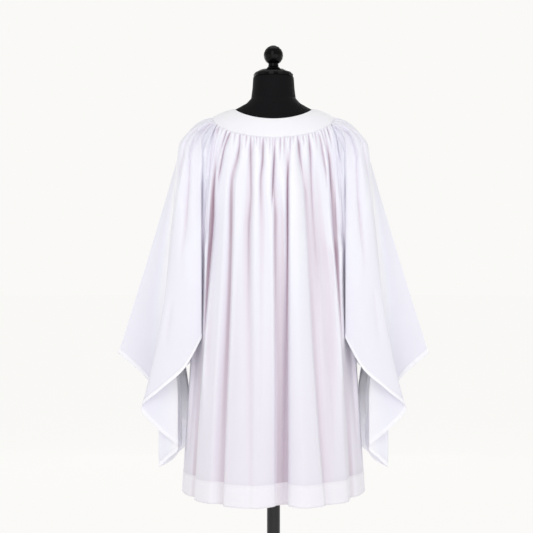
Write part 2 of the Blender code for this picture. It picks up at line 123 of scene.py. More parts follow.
SWAY_DOWN = (0.055, 0.14, 0.265, 0.46, 0.73, 1.0)
BACK_FOLDS = (
    # name, column, degrees round the hem, out at the chest mm, out at the hem mm, and where the fold
    # sways from a plain hang, mm to the right at the shares SWAY_DOWN of the way down
    ("side_left", -49, -90, 0, 0, (0, 0, 0, 0, 0, 0)),
    ("a_crest", -41, -67.5, -2, 2, (-2, -4, -2, -1, 0, 0)),
    ("a_valley", -29, -56.4, -11, -10, (-10, -19, -13, -11, -8, 0)),
    ("b_left", -27, -55, 8, 24, (-10, -19, -11, -10, -7.5, 0)),
    ("b_crest", -23, -41.7, 8, 28, (-5, -12, -8, -7, -5, 0)),
    ("b_valley", -19, -30.4, -7, 10, (0, -10, -7, -5, -5, -3)),
    ("c_left", -17, -29.2, 6, 30, (0, -9, -6.5, -5, -5, -3.5)),
    ("c_dip", -12, -19, -1, 34, (0, -3, -2, -1, 0, 0)),
    ("c_crest", -9, -13, 5, 37),
    ("c_second_dip", -5, -7.5, -1, 25),
    ("c_right", 0, 0.3, 5, 0, (0, -4, -4, -2, 0, 0)),
    ("slit", 2, 1.3, -7, -10, (0, -4, -4, -2, 0, 0)),
    ("recess", 5, 5, -1, -16, (0, 2, 2, 0, -2, -2)),
    ("recess_right", 8, 9.2, -10, -19, (0, -2, -2, -3, -4, -4)),
    ("d_left", 10, 10.2, 5, 3, (-1, -2, -2.5, -3, -4, -4)),
    ("d_crest", 12, 20, 8, 35),
    ("d_right", 14, 30.2, 7, 31, (-2, -3, -6.5, -6.5, -3.5, 2)),
    ("d_valley", 16, 31.4, -5, 19, (0, -2, -5, -5, -3, 2)),
    ("e_crest", 19, 37, 4, 22, (1, 0, -2, 0, 0, 0)),
    ("e_dip", 22, 42, -3, 26),
    ("e_second_crest", 25, 49.5, 6, 30, (3, 6, 4, 5, 4, 0)),
    ("e_right", 28, 52.6, 10, 8, (8, 12, 8, 8.5, 7, 0)),
    ("f_valley", 30, 54.2, -7, -12, (8, 12, 8, 8.5, 7, 0)),
    ("f_crest", 41, 67, -2, 2, (2, 4, 2, 1, 0, 0)),
    ("side_right", 49, 90, 0, 0, (0, 0, 0, 0, 0, 0)),
)
FRONT_FOLDS = (
    ("side_left", -49, -90, 0, 0, (0, 0, 0, 0, 0, 0)),
    ("a_crest", -41, -68, -2, 3, (-2, -4, -2, -1, 0, 0)),
    ("a_valley", -30, -57.6, -13, -12),
    ("b_left", -28, -56.2, 9, 18, (-8, -14, -9, -8, -5, 0)),
    ("b_crest", -24, -46, 7, 26),
    ("b_valley", -20, -35.6, -8, 9),
    ("c_left", -18, -34.4, 6, 22, (-2, -7, -6, -4, -2, 0)),
    ("c_crest", -14, -24, 6, 32),
    ("c_valley", -9, -15.6, -9, 10, (1, 4, 6, 5, 3, 0)),
    ("d_left", -7, -14.4, 6, 24),
    ("d_crest", -2, -3, 7, 30, (0, -2, 2, 5, 2, 0)),
    ("d_right", 3, 7.6, 6, 22),
    ("d_valley", 5, 8.8, -9, -1, (-1, -5, -4, 2, 3, 0)),
    ("e_left", 9, 13, 0, 8),
    ("e_crest", 13, 22, 7, 30, (0, 3, -3, -5, -2, 0)),
    ("e_right", 17, 31.6, 7, 24),
    ("e_valley", 19, 32.8, -8, 8, (2, 7, 5, 2, 3, 0)),
    ("f_crest", 24, 44, 6, 24),
    ("f_right", 28, 54.6, 9, 18, (9, 15, 8, 8, 6, 0)),
    ("f_valley", 30, 56.4, -13, -12),
    ("g_crest", 41, 67, -2, 3, (2, 4, 2, 1, 0, 0)),
    ("side_right", 49, 90, 0, 0, (0, 0, 0, 0, 0, 0)),
)

# Short gathers below the yoke
BACK_GATHERS = (
    # mm right of the centre at the seam, depth mm, half width mm, length mm
    (-149, 3.5, 1.5, 30), (-139.5, 5.5, 1.8, 45), (-130.5, 3.5, 1.5, 26), (-120, 8, 2, 84),
    (-109.5, 5, 1.7, 50), (-97.5, 4.2, 1.6, 44), (-85.5, 7.5, 2, 112), (-77.5, 3.2, 1.4, 22),
    (-68.5, 6.4, 1.8, 46), (-58, 6, 1.8, 108), (-50, 5, 1.6, 70), (-42.5, 6.4, 1.8, 36), (-34, 6, 1.7, 76),
    (-26, 8, 1.9, 130), (-18.5, 5, 1.6, 30), (-9, 5.8, 1.8, 72), (-2, 5, 1.6, 118), (4.5, 5.4, 1.6, 22),
    (10, 3.2, 1.3, 18), (17.5, 8, 1.9, 82), (27.5, 6.2, 1.8, 100), (35.5, 3, 1.4, 22), (43, 6.5, 1.9, 80),
    (50.5, 5.4, 1.6, 28), (61.5, 7.5, 1.9, 130), (68, 3.6, 1.4, 20), (75, 6.4, 1.7, 40),
    (82.5, 4.4, 1.5, 30), (89, 6.8, 1.9, 122), (99, 5.2, 1.5, 24), (106, 6.2, 1.8, 60), (113, 3.2, 1.4, 18),
    (122, 5, 1.7, 108), (128, 4, 1.5, 66), (137, 6.2, 1.8, 70), (144, 3.2, 1.4, 22),
)
FRONT_GATHERS = (
    (-147, 4.2, 1.6, 34), (-138, 5.2, 1.7, 52), (-128, 3.4, 1.5, 24), (-118, 7.4, 2, 92),
    (-108, 4.6, 1.6, 40), (-99, 5.8, 1.8, 66), (-88, 3.6, 1.5, 26), (-80, 7.8, 2, 124), (-70, 5, 1.6, 38),
    (-61, 6.2, 1.8, 88), (-52, 3.4, 1.4, 20), (-44, 6.6, 1.8, 54), (-35, 5.4, 1.7, 112),
    (-27, 3.8, 1.5, 28), (-19, 7.6, 1.9, 96), (-10, 4.8, 1.6, 34), (-1, 6.8, 1.9, 134), (8, 4, 1.5, 24),
    (16, 6, 1.8, 62), (25, 5, 1.6, 42), (33, 7.8, 2, 116), (42, 3.6, 1.4, 20), (51, 5.8, 1.8, 58),
    (59, 4.6, 1.6, 36), (68, 7.2, 1.9, 102), (78, 5, 1.6, 48), (86, 3.4, 1.5, 22), (95, 7.4, 2, 118),
    (105, 4.8, 1.6, 36), (114, 6, 1.8, 74), (124, 3.6, 1.5, 26), (133, 6.4, 1.8, 86), (143, 4.4, 1.6, 40),
)

# Creases drawn on the cloth as it is seen from its own side; a depth below 0 is a ridge
BACK_CREASES = (
    # name, depth mm, half width mm at the top and at the bottom, share of its length over which it
    # deepens, then its places from the top down, mm up and mm to the right
    ("left_gap_top", 18, 2.2, 2.6, 0.1, {1330: -186, 1240: -187.5, 1120: -188}),
    ("left_gap", 13, 2.4, 3, 0.15, {1250: -188, 1108: -187.5, 1040: -187}),
    ("left_gap_low", 5, 2.6, 3, 0.3, {1108: -187.5, 960: -186, 880: -185}),
    ("left_floor", -22, 9, 8, 0.1, {1100: -176, 930: -179, 560: -180}),
    ("left_light", -25, 13, 4.6, 0.5, {1386: -160, 1340: -168, 1290: -170, 1240: -170, 1108: -178,
     940: -181}),
    ("left_light_top", -9, 9, 9, 0.1, {1386: -160, 1340: -168, 1260: -170}),
    ("left_ridge", -6, 2.4, 2.6, 0.05, {1392: -149, 1371: -158, 1350: -166, 1325: -172, 1285: -176,
     1200: -178}),
    ("right_gap_top", 24, 2.2, 2.6, 0.1, {1330: 187, 1240: 190, 1120: 190}),
    ("right_gap", 6, 2.4, 2.6, 0.15, {1260: 190, 1108: 191, 1040: 190}),
    ("right_gap_low", 1.5, 2.4, 2.6, 0.3, {1108: 191, 960: 189, 880: 187}),
    ("right_floor", -25, 12, 9, 0.1, {1100: 174, 930: 176, 560: 179}),
    ("right_light", -30, 13, 7.5, 0.62, {1386: 158, 1340: 166, 1290: 168, 1240: 170, 1108: 177, 920: 178}),
    ("right_light_top", -9, 9, 9, 0.1, {1386: 158, 1340: 166, 1260: 169}),
    ("right_ridge", -6, 2.4, 2.6, 0.05, {1392: 154, 1372: 163, 1350: 172, 1325: 178, 1290: 180, 1200: 181}),
    ("left_slit", 8, 1.9, 1.9, 0.05, {1388: -145, 1373: -153, 1354: -160, 1336: -166, 1312: -168,
     1280: -169}),
    ("b_fan", 9, 2.2, 3, 0.05, {1362: -112, 1345: -118, 1318: -126, 1278: -134, 1240: -141, 1190: -146}),
    ("b_root", 8, 2.2, 6, 0.8, {1368: -131, 1346: -139, 1317: -147, 1290: -149, 1240: -151, 1108: -155,
     900: -168}),
    ("c_root", 4, 2.8, 7, 0.06, {1345: -79, 1300: -92, 1240: -108, 1160: -112, 1040: -113}),
    ("c_middle", 9, 2.8, 9, 0.06, {1345: -58, 1290: -57, 1200: -56, 1107: -61, 930: -61, 700: -60}),
    ("c_inner", 5.5, 2.6, 6, 0.06, {1340: -26, 1285: -28, 1231: -33, 1107: -31}),
    ("centre_slit", 24, 2.2, 2.6, 0.5, {1345: 4, 1300: 2, 1250: -1, 1200: -3, 1130: -4}),
    ("recess_left", 1.5, 2.4, 3, 0.08, {1340: 30, 1323: 31, 1250: 35, 1180: 37}),
    ("recess_right", 2.5, 2.6, 4, 0.8, {1345: 43, 1300: 40, 1249: 37, 1100: 37, 960: 37}),
    ("d_root", 8, 2.6, 5, 0.06, {1342: 64, 1298: 67, 1249: 73, 1190: 79, 1080: 80}),
    ("d_outer", 12, 2.8, 9, 0.06, {1345: 90, 1300: 93, 1236: 96, 1107: 102, 940: 112, 800: 116}),
    ("e_fan", 7, 2.2, 3, 0.05, {1362: 114, 1345: 119, 1317: 124, 1280: 131, 1240: 137, 1190: 141}),
    ("e_root", 8, 2.2, 4, 0.5, {1376: 131, 1333: 137, 1293: 143, 1250: 146, 1200: 147, 1100: 147}),
    ("right_slit", 16, 1.9, 2.1, 0.05, {1390: 151, 1373: 158, 1352: 165, 1333: 168, 1312: 171, 1280: 176,
     1240: 178}),
    ("b_slope", 12, 9, 14, 0.7, {1200: -112, 1108: -113, 930: -118, 670: -132, 490: -141, 0: -143}),
    ("b_ridge", -3, 8, 12, 0.3, {1000: -134, 700: -150, 430: -160}),
    ("c_outer", 2.6, 7, 10, 0.3, {1100: -86, 800: -98, 430: -112}),
    ("c_lower", 9, 10, 14, 0.3, {960: -58, 700: -58, 430: -56, 0: -55}),
    ("d_lower", 3, 9, 15, 0.3, {1000: 109, 800: 112, 670: 116, 490: 124, 0: 126}),
    ("recess_lower", 5, 5, 8, 0.3, {1000: 34, 930: 32, 670: 30, 490: 27, 0: 26}),
    ("e_lower", 2.4, 8, 12, 0.3, {900: 128, 640: 150, 430: 160}),
    ("e_outer", 2.4, 6, 8, 0.3, {1100: 146, 850: 158, 600: 172}),
)
FRONT_CREASES = (
    ("left_gap", 26, 2.6, 4, 0.3, {1326: -186, 1236: -188, 1108: -187, 930: -182, 800: -179}),
    ("left_light", -13, 3.5, 4.5, 0.2, {1300: -172, 1210: -172, 1110: -174, 900: -175}),
    ("right_gap", 26, 2.6, 4, 0.3, {1326: 186, 1236: 188, 1108: 187, 930: 183, 820: 180}),
    ("right_light", -12, 3.5, 4.5, 0.2, {1310: 172, 1220: 173, 1120: 175, 960: 176}),
    ("left_slit", 7, 2, 2, 0.06, {1373: -154, 1352: -161, 1320: -167}),
    ("b_root", 8, 2.4, 4, 0.06, {1338: -120, 1290: -134, 1230: -148, 1090: -154}),
    ("c_root", 8, 2.4, 4, 0.06, {1328: -92, 1280: -99, 1220: -107, 1080: -108}),
    ("c_middle", 6, 2.8, 8, 0.06, {1316: -60, 1240: -62, 1100: -70, 780: -80}),
    ("d_root", 8, 2.4, 4, 0.06, {1308: -26, 1250: -28, 1160: -36, 1060: -38}),
    ("d_middle", 5, 2.6, 7, 0.06, {1306: -2, 1240: 1, 1100: -4, 840: -6}),
    ("e_root", 8, 2.4, 4, 0.06, {1308: 20, 1260: 22, 1190: 26, 1080: 30}),
    ("e_middle", 6, 2.6, 8, 0.06, {1313: 48, 1230: 54, 1090: 58, 760: 72}),
    ("f_root", 8, 2.4, 4, 0.06, {1323: 80, 1270: 88, 1210: 95, 1090: 98}),
    ("f_middle", 5, 2.6, 7, 0.06, {1336: 112, 1240: 121, 1100: 128, 840: 140}),
    ("g_root", 8, 2.4, 4, 0.06, {1344: 132, 1290: 143, 1220: 152, 1070: 156}),
    ("right_slit", 7, 2, 2, 0.06, {1366: 155, 1338: 164, 1300: 171}),
    ("b_lower", -3, 8, 12, 0.3, {940: -124, 700: -140, 430: -158}),
    ("c_lower", 2.6, 7, 10, 0.3, {1000: -88, 760: -96, 430: -100}),
    ("d_lower", -2.6, 7, 10, 0.3, {1000: 4, 740: 0, 430: 8}),
    ("e_lower", 2.6, 7, 10, 0.3, {960: 84, 700: 92, 430: 96}),
    ("f_lower", -3, 8, 12, 0.3, {960: 130, 700: 150, 430: 166}),
)
BACK_LEFT_SLEEVE_CREASES = (
    ("outer_valley", 5.2, 3.4, 11, 0.06, {1390: -170, 1376: -194, 1358: -217, 1329: -230, 1290: -239,
     1233: -252, 1176: -265, 1088: -285, 978: -304, 848: -324, 790: -330}),
    ("outer_ridge", -4, 3, 8, 0.06, {1392: -173, 1366: -199, 1340: -213, 1312: -221, 1285: -228, 1210: -243,
     1160: -251, 1080: -262}),
    ("middle_valley", 10, 2.8, 10, 0.06, {1389: -170, 1363: -198, 1340: -208, 1311: -214, 1275: -218,
     1234: -220, 1185: -224, 1123: -228, 1040: -236, 960: -240}),
    ("short_valley", 8, 2.4, 3.2, 0.06, {1393: -162, 1373: -181, 1352: -194, 1333: -200, 1300: -204}),
    ("short_ridge", -6, 2.4, 3.2, 0.06, {1396: -166, 1376: -191, 1354: -206, 1330: -215}),
    ("edge_valley", 5.8, 2.4, 2.8, 0.06, {1393: -154, 1376: -169, 1358: -179, 1340: -185, 1300: -187}),
    ("edge_ridge", -8, 2.4, 3.2, 0.06, {1395: -156, 1377: -172, 1358: -183, 1340: -189, 1300: -190,
     1200: -190}),
    ("hanging_valley", 4, 6, 12, 0.3, {930: -262, 850: -274, 760: -280}),
)
BACK_RIGHT_SLEEVE_CREASES = (
    ("outer_valley", 5.2, 3.4, 11, 0.06, {1390: 170, 1378: 196, 1360: 218, 1330: 232, 1290: 240, 1236: 251,
     1170: 266, 1100: 280, 990: 300, 880: 318, 780: 328}),
    ("outer_ridge", -4, 3, 8, 0.06, {1391: 172, 1374: 194, 1350: 208, 1322: 217, 1285: 224, 1230: 233,
     1160: 241}),
    ("middle_valley", 10, 2.8, 10, 0.06, {1388: 166, 1374: 183, 1360: 196, 1336: 205, 1306: 212, 1270: 215,
     1200: 219, 1120: 226, 1010: 236, 940: 240}),
    ("edge_valley", 5.8, 2.4, 2.8, 0.06, {1385: 152, 1377: 166, 1360: 177, 1340: 184, 1300: 188}),
    ("edge_ridge", -8, 2.4, 3.2, 0.06, {1390: 155, 1378: 171, 1361: 182, 1340: 189, 1300: 192, 1200: 192}),
    ("hanging_valley", 4, 6, 12, 0.3, {960: 258, 860: 270, 770: 282}),
)

SLEEVE_FOLDS = (
    # name, column, x below the shoulder, hem x, hem depth, hem height, hem x if unfolded, power, reach
    ("underarm", 0, 0.19, 0.228, 0, 0.83, 0.228, 1, 1),
    ("inner_side", 3, 0.192, 0.231, 0.072, 0.8298, 0.231, 1, 1),
    ("inner_edge", 5, 0.1875, 0.184, 0.115, 0.8296, 0.184, 1, 1),
    ("near_face", 7, 0.2105, 0.228, 0.125, 0.7507, 0.2195, 2.4, 1),
    ("near_outer", 9, 0.228, 0.2925, 0.118, 0.6935, 0.262, 2.4, 1),
    ("first_fold", 11, 0.2418, 0.3416, 0.1, 0.6449, 0.2988, 2.4, 1),
    ("first_return", 13, 0.2458, 0.297, 0.085, 0.5882, 0.303, 2, 1),
    ("first_tuck", 15, 0.2478, 0.2482, 0.072, 0.5392, 0.3123, 2, 0.78),
    ("second_out", 17, 0.2482, 0.2732, 0.06, 0.511, 0.3215, 2, 0.85),
    ("point", 19, 0.2485, 0.3, 0.05, 0.4855, 0.3305, 2.4, 1),
    ("second_return", 21, 0.2487, 0.2616, 0.038, 0.5071, 0.34, 2, 0.9),
    ("second_tuck", 23, 0.2488, 0.242, 0.028, 0.5533, 0.349, 2, 0.8),
    ("third_out", 25, 0.2488, 0.298, 0.018, 0.658, 0.361, 2.4, 1),
    ("third_outer", 27, 0.2488, 0.3386, 0.012, 0.716, 0.383, 2.4, 1),
    ("tip", 30, 0.2488, 0.414, 0, 0.7818, 0.404, 1, 1),
)
FRONT_TUCKS = {"first_tuck": 0.227, "second_out": 0.262, "second_tuck": 0.226}  # hem x of the front half
INNER_EDGE_COLUMN = 5
CORNER_COLUMN = 11
LAST_COLUMN = 30
INNER_EDGE_ON_RAGLAN = 0.40
SHOULDER_DEPTH_SHARE = 0.9
INNER_KNEE_DROP = 0.12
INNER_KNEE_SWING = 0.26
SHOULDER_BREAK_Z = 1.3288
LEAST_SHOULDER_DROP = 0.05
SHOULDER_ROUNDNESS = 0.97
SHOULDER_STATIONS_DEG = (0.0, 10.0, 22.0, 36.0, 52.0, 69.4)
SLEEVE_STATIONS_DOWN = (0.12, 0.24, 0.36, 0.48, 0.67, 0.84, 0.93)
SLEEVE_LIFT = 0.0012  # off its seam
SLEEVE_LIFT_SPAN = (0.0, 0.010)
SLEEVE_ARMHOLE_RELIEF = (0.0, 0.006)
FACING_SPAN = (0.0, 0.35)  # how squarely cloth with drawn creases faces back or front
OUTER_FACE = (4.2, 0.8)  # spans in columns
UNDERARM_CALM = (1.0, 2.0)
SLEEVE_GATHERS = (
    # column, depth mm, half width in columns, length mm
    (12.6, 4, 0.5, 110), (14.4, 3, 0.45, 60), (16.2, 5, 0.6, 190), (18.2, 3, 0.45, 70), (20, 4.6, 0.6, 240),
    (22.4, 3.2, 0.5, 90), (24.2, 4.6, 0.55, 170), (26.4, 3, 0.5, 60), (28.4, 4.4, 0.55, 220),
)
SLEEVE_CREASES = (
    # name, column, starts and ends at shares of the length, depth mm, half width in columns
    ("tip_valley", 22, 0.3, 0.8, 4, 1.4),
    ("inner_valley", 3.4, 0.3, 1.1, 3, 0.8),
)

# How deep in a fold cloth counts as lying, from 0 on a sharp crest to 1 in a tight valley; it is painted
# into the cloth's colour, as shade in the valleys and highlight on the crests
SHADE_REACHES = ((2, 0.8), (4, 0.9), (6, 1.0), (9, 1.1), (13, 1.2), (18, 1.3), (26, 1.5), (38, 1.7))
SHADE_LEAST_SPAN = 0.002
SHADE_LEVEL_REACH = 0.03  # neighbours further apart in height than this count little
SHADE_FADE = 0.62  # how much the painted shade in folds lightens towards the hem
SHADE_FADES = (0.25, 0.6)  # span of the rows
CREST_GONE = (0.0, 0.2)  # span of a valley's depth
FLAT_SHADE = 0.25
BODY_CREST_HIGHLIGHT = 0.78  # painted highlight: how much lighter sharp crests are painted, as a share of the whole difference
SLEEVE_CREST_HIGHLIGHT = 0.4
BODY_HEM_PAINTED_SHADE = 0.20  # painted shade: how much deeper the cloth near the hem counts, painting it darker towards the hem
SLEEVE_HEM_PAINTED_SHADE = 0.075
SLEEVE_TOP_PAINTED_SHADE = 0.5  # share of it at the sleeve's top
PAINTED_LIGHT_SHADE_SHARE = 0.2  # painted light: the shade left in the sleeve's inner side and behind its hanging folds, as a share of the rest's, so these hollows are painted whiter
SLEEVE_INNER_PAINTED_LIGHT = (3.0, 2.0)  # span in columns, where the sleeve's inner side ends
TUCK_COLUMNS = (15.3, 23.3)  # the cloth behind the hanging folds, painted whiter too
TUCK_HALF_WIDTH = 1.5
HANGING_STARTS = (CORNER_COLUMN, 2.0)  # spans in columns; hanging folds get no painted hem shade
HANGING_ENDS = (25.0, 2.0)
SHARP_FOLD_FROM = 0.45  # the sleeve's outer fold is sharp below this share of its rows

# Stitches
STITCH_PITCH = 0.0034
STITCH_LENGTH = 0.64  # as a share of the pitch
STITCH_START = 0.18
STITCH_WIDTH = 0.0006
STITCH_RISE = 0.00035
STITCH_SINK = 0.5  # into the cloth, as a share of its rise
STITCH_SLANT = 0.0002
STITCH_FACES = ((0, 1, 5, 4), (1, 2, 6, 5), (2, 3, 7, 6), (3, 0, 4, 7), (3, 2, 1, 0), (4, 5, 6, 7))

# The yoke's shell
YOKE_TURNS = 240
YOKE_LAP = 0.03  # over the gathers, as a share of its width
YOKE_ACROSS = np.concatenate([
    [0.0, 0.012, 0.03, 0.06], np.linspace(0.1, 0.9, 14), [0.95, 0.98, 1.0, 1.0 + YOKE_LAP],
])
YOKE_STITCH_ROWS = (3, len(YOKE_ACROSS) - 4)
YOKE_RISE = 0.0008
NECKLINE_ROLL = 0.0008
NECKLINE_ROLL_SPAN = (0.0, 0.05)
EDGE_ROLL = 0.0006
EDGE_ROLL_SPAN = (0.97, 0.06)
PUCKER_HEIGHT = 0.0004
PUCKER_SPAN = (0.8, 0.2)
PUCKERS_ROUND = 47
PUCKER_WANDER = 1.3
PUCKER_WANDERS_ROUND = 5

# How each cloth piece was cut: flat width and length, area, how it is held, what it hangs from
BODY_CUT = ((1.05, 0.95), 0.80, "gathered", ["yoke_cloth"])
SLEEVE_CUT = ((1.25, 0.9), 0.62, "gathered", ["yoke_cloth"])
YOKE_CUT = ((0.42, 0.40), 0.0563, "stretched", ["form_torso"])

# Finishes
PAINTED_FOLD_SHADES = (
    # painted fold shade, colour: a painted highlight on sharp crests, painted shade in the valleys, tinted
    # mauve like a red robe showing through the thin cloth
    (0.0, (0.99, 0.99, 1.0)),
    (FLAT_SHADE, (0.864, 0.868, 0.949)),
    (0.5, (0.79, 0.742, 0.83)),
    (0.95, (0.42, 0.30, 0.37)),
)
CLOTH_DOUBLE = (0.96, 0.958, 1.0)  # where the cloth lies double
DOUBLE_STRENGTH = 0.8
BODY_BAND = 0.6  # how white the body's hem band is, as a share of the sleeves'
GRAIN = 0.15  # how much roughness varies, as a share of it
FORM_FINISHES = (
    # name, colour, roughness, metallic, grain scale, grain bump, specular, nodes
    ("form_matte", (0.006, 0.006, 0.007), 0.6, 0.0, 900.0, 0.25, 0.06, ("form_torso",)),
    ("form_gloss", (0.002, 0.002, 0.002), 0.10, 0.0, 60.0, 0.02, 0.12, ("form_neck_cap", "form_finial")),
    ("stand_coat", (0.02, 0.02, 0.022), 0.36, 0.4, 700.0, 0.12, 0.5, ("stand_pole", "stand_base")),
)
PALE = (0.956, 0.947, 0.930)  # the studio's floor and walls

# Room and light
FLOOR_ALBEDO = 0.04
FLOOR_LIGHT = 0.75  # what reaches the floor, as a share of its own glow
FLOOR_DROP = 0.0005  # how far the floor lies below the stand's base
FLOOR_HALF_WIDTH = 40.0
ROOM_RADIUS = 36.0
AMBIENT = 0.58
LIGHT_AIM = (0.0, 0.0, 1.0)
LIGHTS = (
    # name, place, size, watts
    ("back_key", (-0.9, -3, 2.4), 2.2, 20),
    ("back_low", (0, -3, 0.3), 2.2, 10),
    ("back_fill", (1.7, -2.9, 1.3), 2.2, 11),
    ("back_side_-1", (-2.7, -2, 1.5), 1.8, 5),
    ("back_side_+1", (2.7, -2, 1.5), 1.8, 5),
    ("front_key", (0.9, 3, 2.4), 2.2, 20),
    ("front_low", (0, 3, 0.3), 2.2, 10),
    ("front_fill", (-1.7, 2.9, 1.3), 2.2, 11),
    ("front_side_-1", (-2.7, 2, 1.5), 1.8, 5),
    ("front_side_+1", (2.7, 2, 1.5), 1.8, 5),
    ("top", (0, 0, 4.6), 2.4, 14),
)

# Camera: it stands this far behind the garment, level with this height
CAMERA_DISTANCE = 2.9
CAMERA_Z = 1.0136
FRAME_PIXELS = 533
METRES_A_PIXEL = 0.00268
OBJECT_RIGHT_OF_CENTRE = 7  # pixels
SENSOR_MM = 36.0


# ---- Shape helpers


def smooth_through(stations, values, at):
    """Values at the places asked for, on a curve through the stations that never overshoots them."""
    x = np.asarray(stations, float)
    y = np.asarray(values, float)
    step = np.diff(x)
    slope = np.diff(y) / step
    tangent = np.zeros_like(y)
    same_way = slope[:-1] * slope[1:] > 0
    before = 2 * step[1:] + step[:-1]
    after = step[1:] + 2 * step[:-1]
    with np.errstate(divide="ignore", invalid="ignore"):
        mean = (before + after) / (before / slope[:-1] + after / slope[1:])
    tangent[1:-1] = np.where(same_way, mean, 0.0)
    tangent[0] = slope[0]
    tangent[-1] = slope[-1]
    at = np.asarray(at, float)
    i = np.clip(np.searchsorted(x, at, side="right") - 1, 0, len(x) - 2)
    s = (at - x[i]) / step[i]
    rise = s * s * (3 - 2 * s)
    leave = s * (1 - s) ** 2
    arrive = s * s * (s - 1)
    return y[i] + (y[i + 1] - y[i]) * rise + step[i] * (leave * tangent[i] + arrive * tangent[i + 1])


def ease(x):
    """0 up to x = 0, 1 from x = 1 on, smooth between."""
    x = np.clip(x, 0.0, 1.0)
    return x * x * (3 - 2 * x)


def grown(values, span):
    """0 up to the span's start, 1 from its end on, smooth between."""
    start, width = span
    return ease((values - start) / width)


def lengths_along(path):
    """The length from the start to each point of a path, or of each column of a grid."""
    steps = np.linalg.norm(np.diff(path, axis=0), axis=-1)
    return np.concatenate([np.zeros_like(steps[:1]), np.cumsum(steps, axis=0)])


def points_along(length, path, at):
    """Points of a smooth curve through a path's points, at the lengths asked for."""
    return np.stack([smooth_through(length, values, at) for values in path.T], axis=-1)


def ring_points(ring, turn):
    """Points of an oval ring. Turn is in radians: 0 at +X, a quarter turn at the front."""
    half_width, back, front, side_z, back_dip, front_dip, late = ring
    sine = np.sin(turn)
    depth = np.where(sine > 0, front, back)
    dip = np.where(sine > 0, front_dip, back_dip)
    return np.stack([half_width * np.cos(turn), depth * sine, side_z - dip * np.abs(sine) ** late], axis=-1)


def yoke_points(turn, across):
    """Points of the yoke's middle surface: across runs from 0 at the neckline to 1 at the outer edge."""
    inner = ring_points(NECKLINE, turn)
    outer = ring_points(YOKE_EDGE, turn)
    points = inner + (outer - inner) * across
    points[..., 2] += YOKE_CROWN * 4 * across * (1 - across)
    return points


def under_yoke(turn):
    """Where gathered cloth starts: at the yoke's outer edge, just below it."""
    points = yoke_points(turn, 1.0)
    points[..., 2] -= TUCK_UNDER
    return points


def armhole_points(share, face):
    """Points of the right armhole seam: share runs from 0 at the yoke's corner to 1 at the underarm."""
    path = [tuple(under_yoke(face * math.radians(BODY_CORNER_DEG)))]
    for x, depth, back_z, front_z in RAGLAN_PATH:
        path.append((x, face * depth, front_z if face == FRONT else back_z))
    path = np.array(path)
    length = lengths_along(path)
    return points_along(length, path, share * length[-1])


def row_shares(length, hem_depth, rows, power, band_rows):
    """Shares of the way down, a column for each length: rows that crowd at the top, then the hem's."""
    band_top = 1 - hem_depth / length
    upper = np.linspace(0.0, 1.0, rows)[:, None] ** power * (band_top - HEM_TURN_LEAD / length)
    band = band_top + (1 - band_top) * np.linspace(0.0, 1.0, band_rows)[:, None]
    return np.concatenate([upper, band])


def trough(distance):
    """A soft trough of depth 1: rounded at the bottom, with slopes that run out."""
    return np.exp(TROUGH_ROUND - np.sqrt(distance * distance + TROUGH_ROUND * TROUGH_ROUND))


def gather_relief(columns, drop, gathers):
    """How far gathers push the cloth in, at columns and at drops below the seam."""
    relief = np.zeros_like(drop)
    widening = 1 + GATHER_WIDENING * drop / GATHER_WIDENING_REACH
    rise = GATHER_AT_SEAM + (1 - GATHER_AT_SEAM) * ease(drop / GATHER_STARTS)
    for column, depth, half_width, length in gathers:
        fade = 1 - ease(drop / (length / MM))
        relief += depth / MM * rise * fade * trough((columns - column) / (half_width * widening))
    return relief


def drawn_relief(points, creases):
    """How far drawn creases push the cloth in, at a grid of points."""
    relief = np.zeros(points.shape[:2])
    x, z = points[..., 0], points[..., 2]
    for _, depth, top_half_width, end_half_width, onset, places in creases:
        path_z, path_x = np.array(sorted(places.items())).T / MM
        way = (path_z[-1] - z) / (path_z[-1] - path_z[0])
        inside = np.clip(z, path_z[0], path_z[-1])
        middle = smooth_through(path_z, path_x, inside)
        above = np.clip(inside + CREASE_LEAN_REACH, path_z[0], path_z[-1])
        lean = smooth_through(path_z, path_x, above) - middle
        half_width = (top_half_width + (end_half_width - top_half_width) * np.clip(way, 0, 1)) / MM
        distance = (x - middle) / np.hypot(1.0, lean / CREASE_LEAN_REACH) / half_width
        strength = ease(way / onset + CREASE_START) * (1 - grown(way, CREASE_FADES))
        relief += depth / MM * strength * trough(distance)
    return relief


def crease_relief(columns, down, creases):
    """How far long creases push the cloth in, at columns and at shares of the way down."""
    relief = np.zeros_like(down)
    for _, column, start, end, depth, half_width in creases:
        middle = (start + end) / 2
        comes = ease((down - start) / (middle - start))
        goes = 1 - ease((down - middle) / (end - middle))
        relief += depth / MM * comes * goes * np.exp(-(((columns - column) / half_width) ** 2))
    return relief


# ---- Body panels


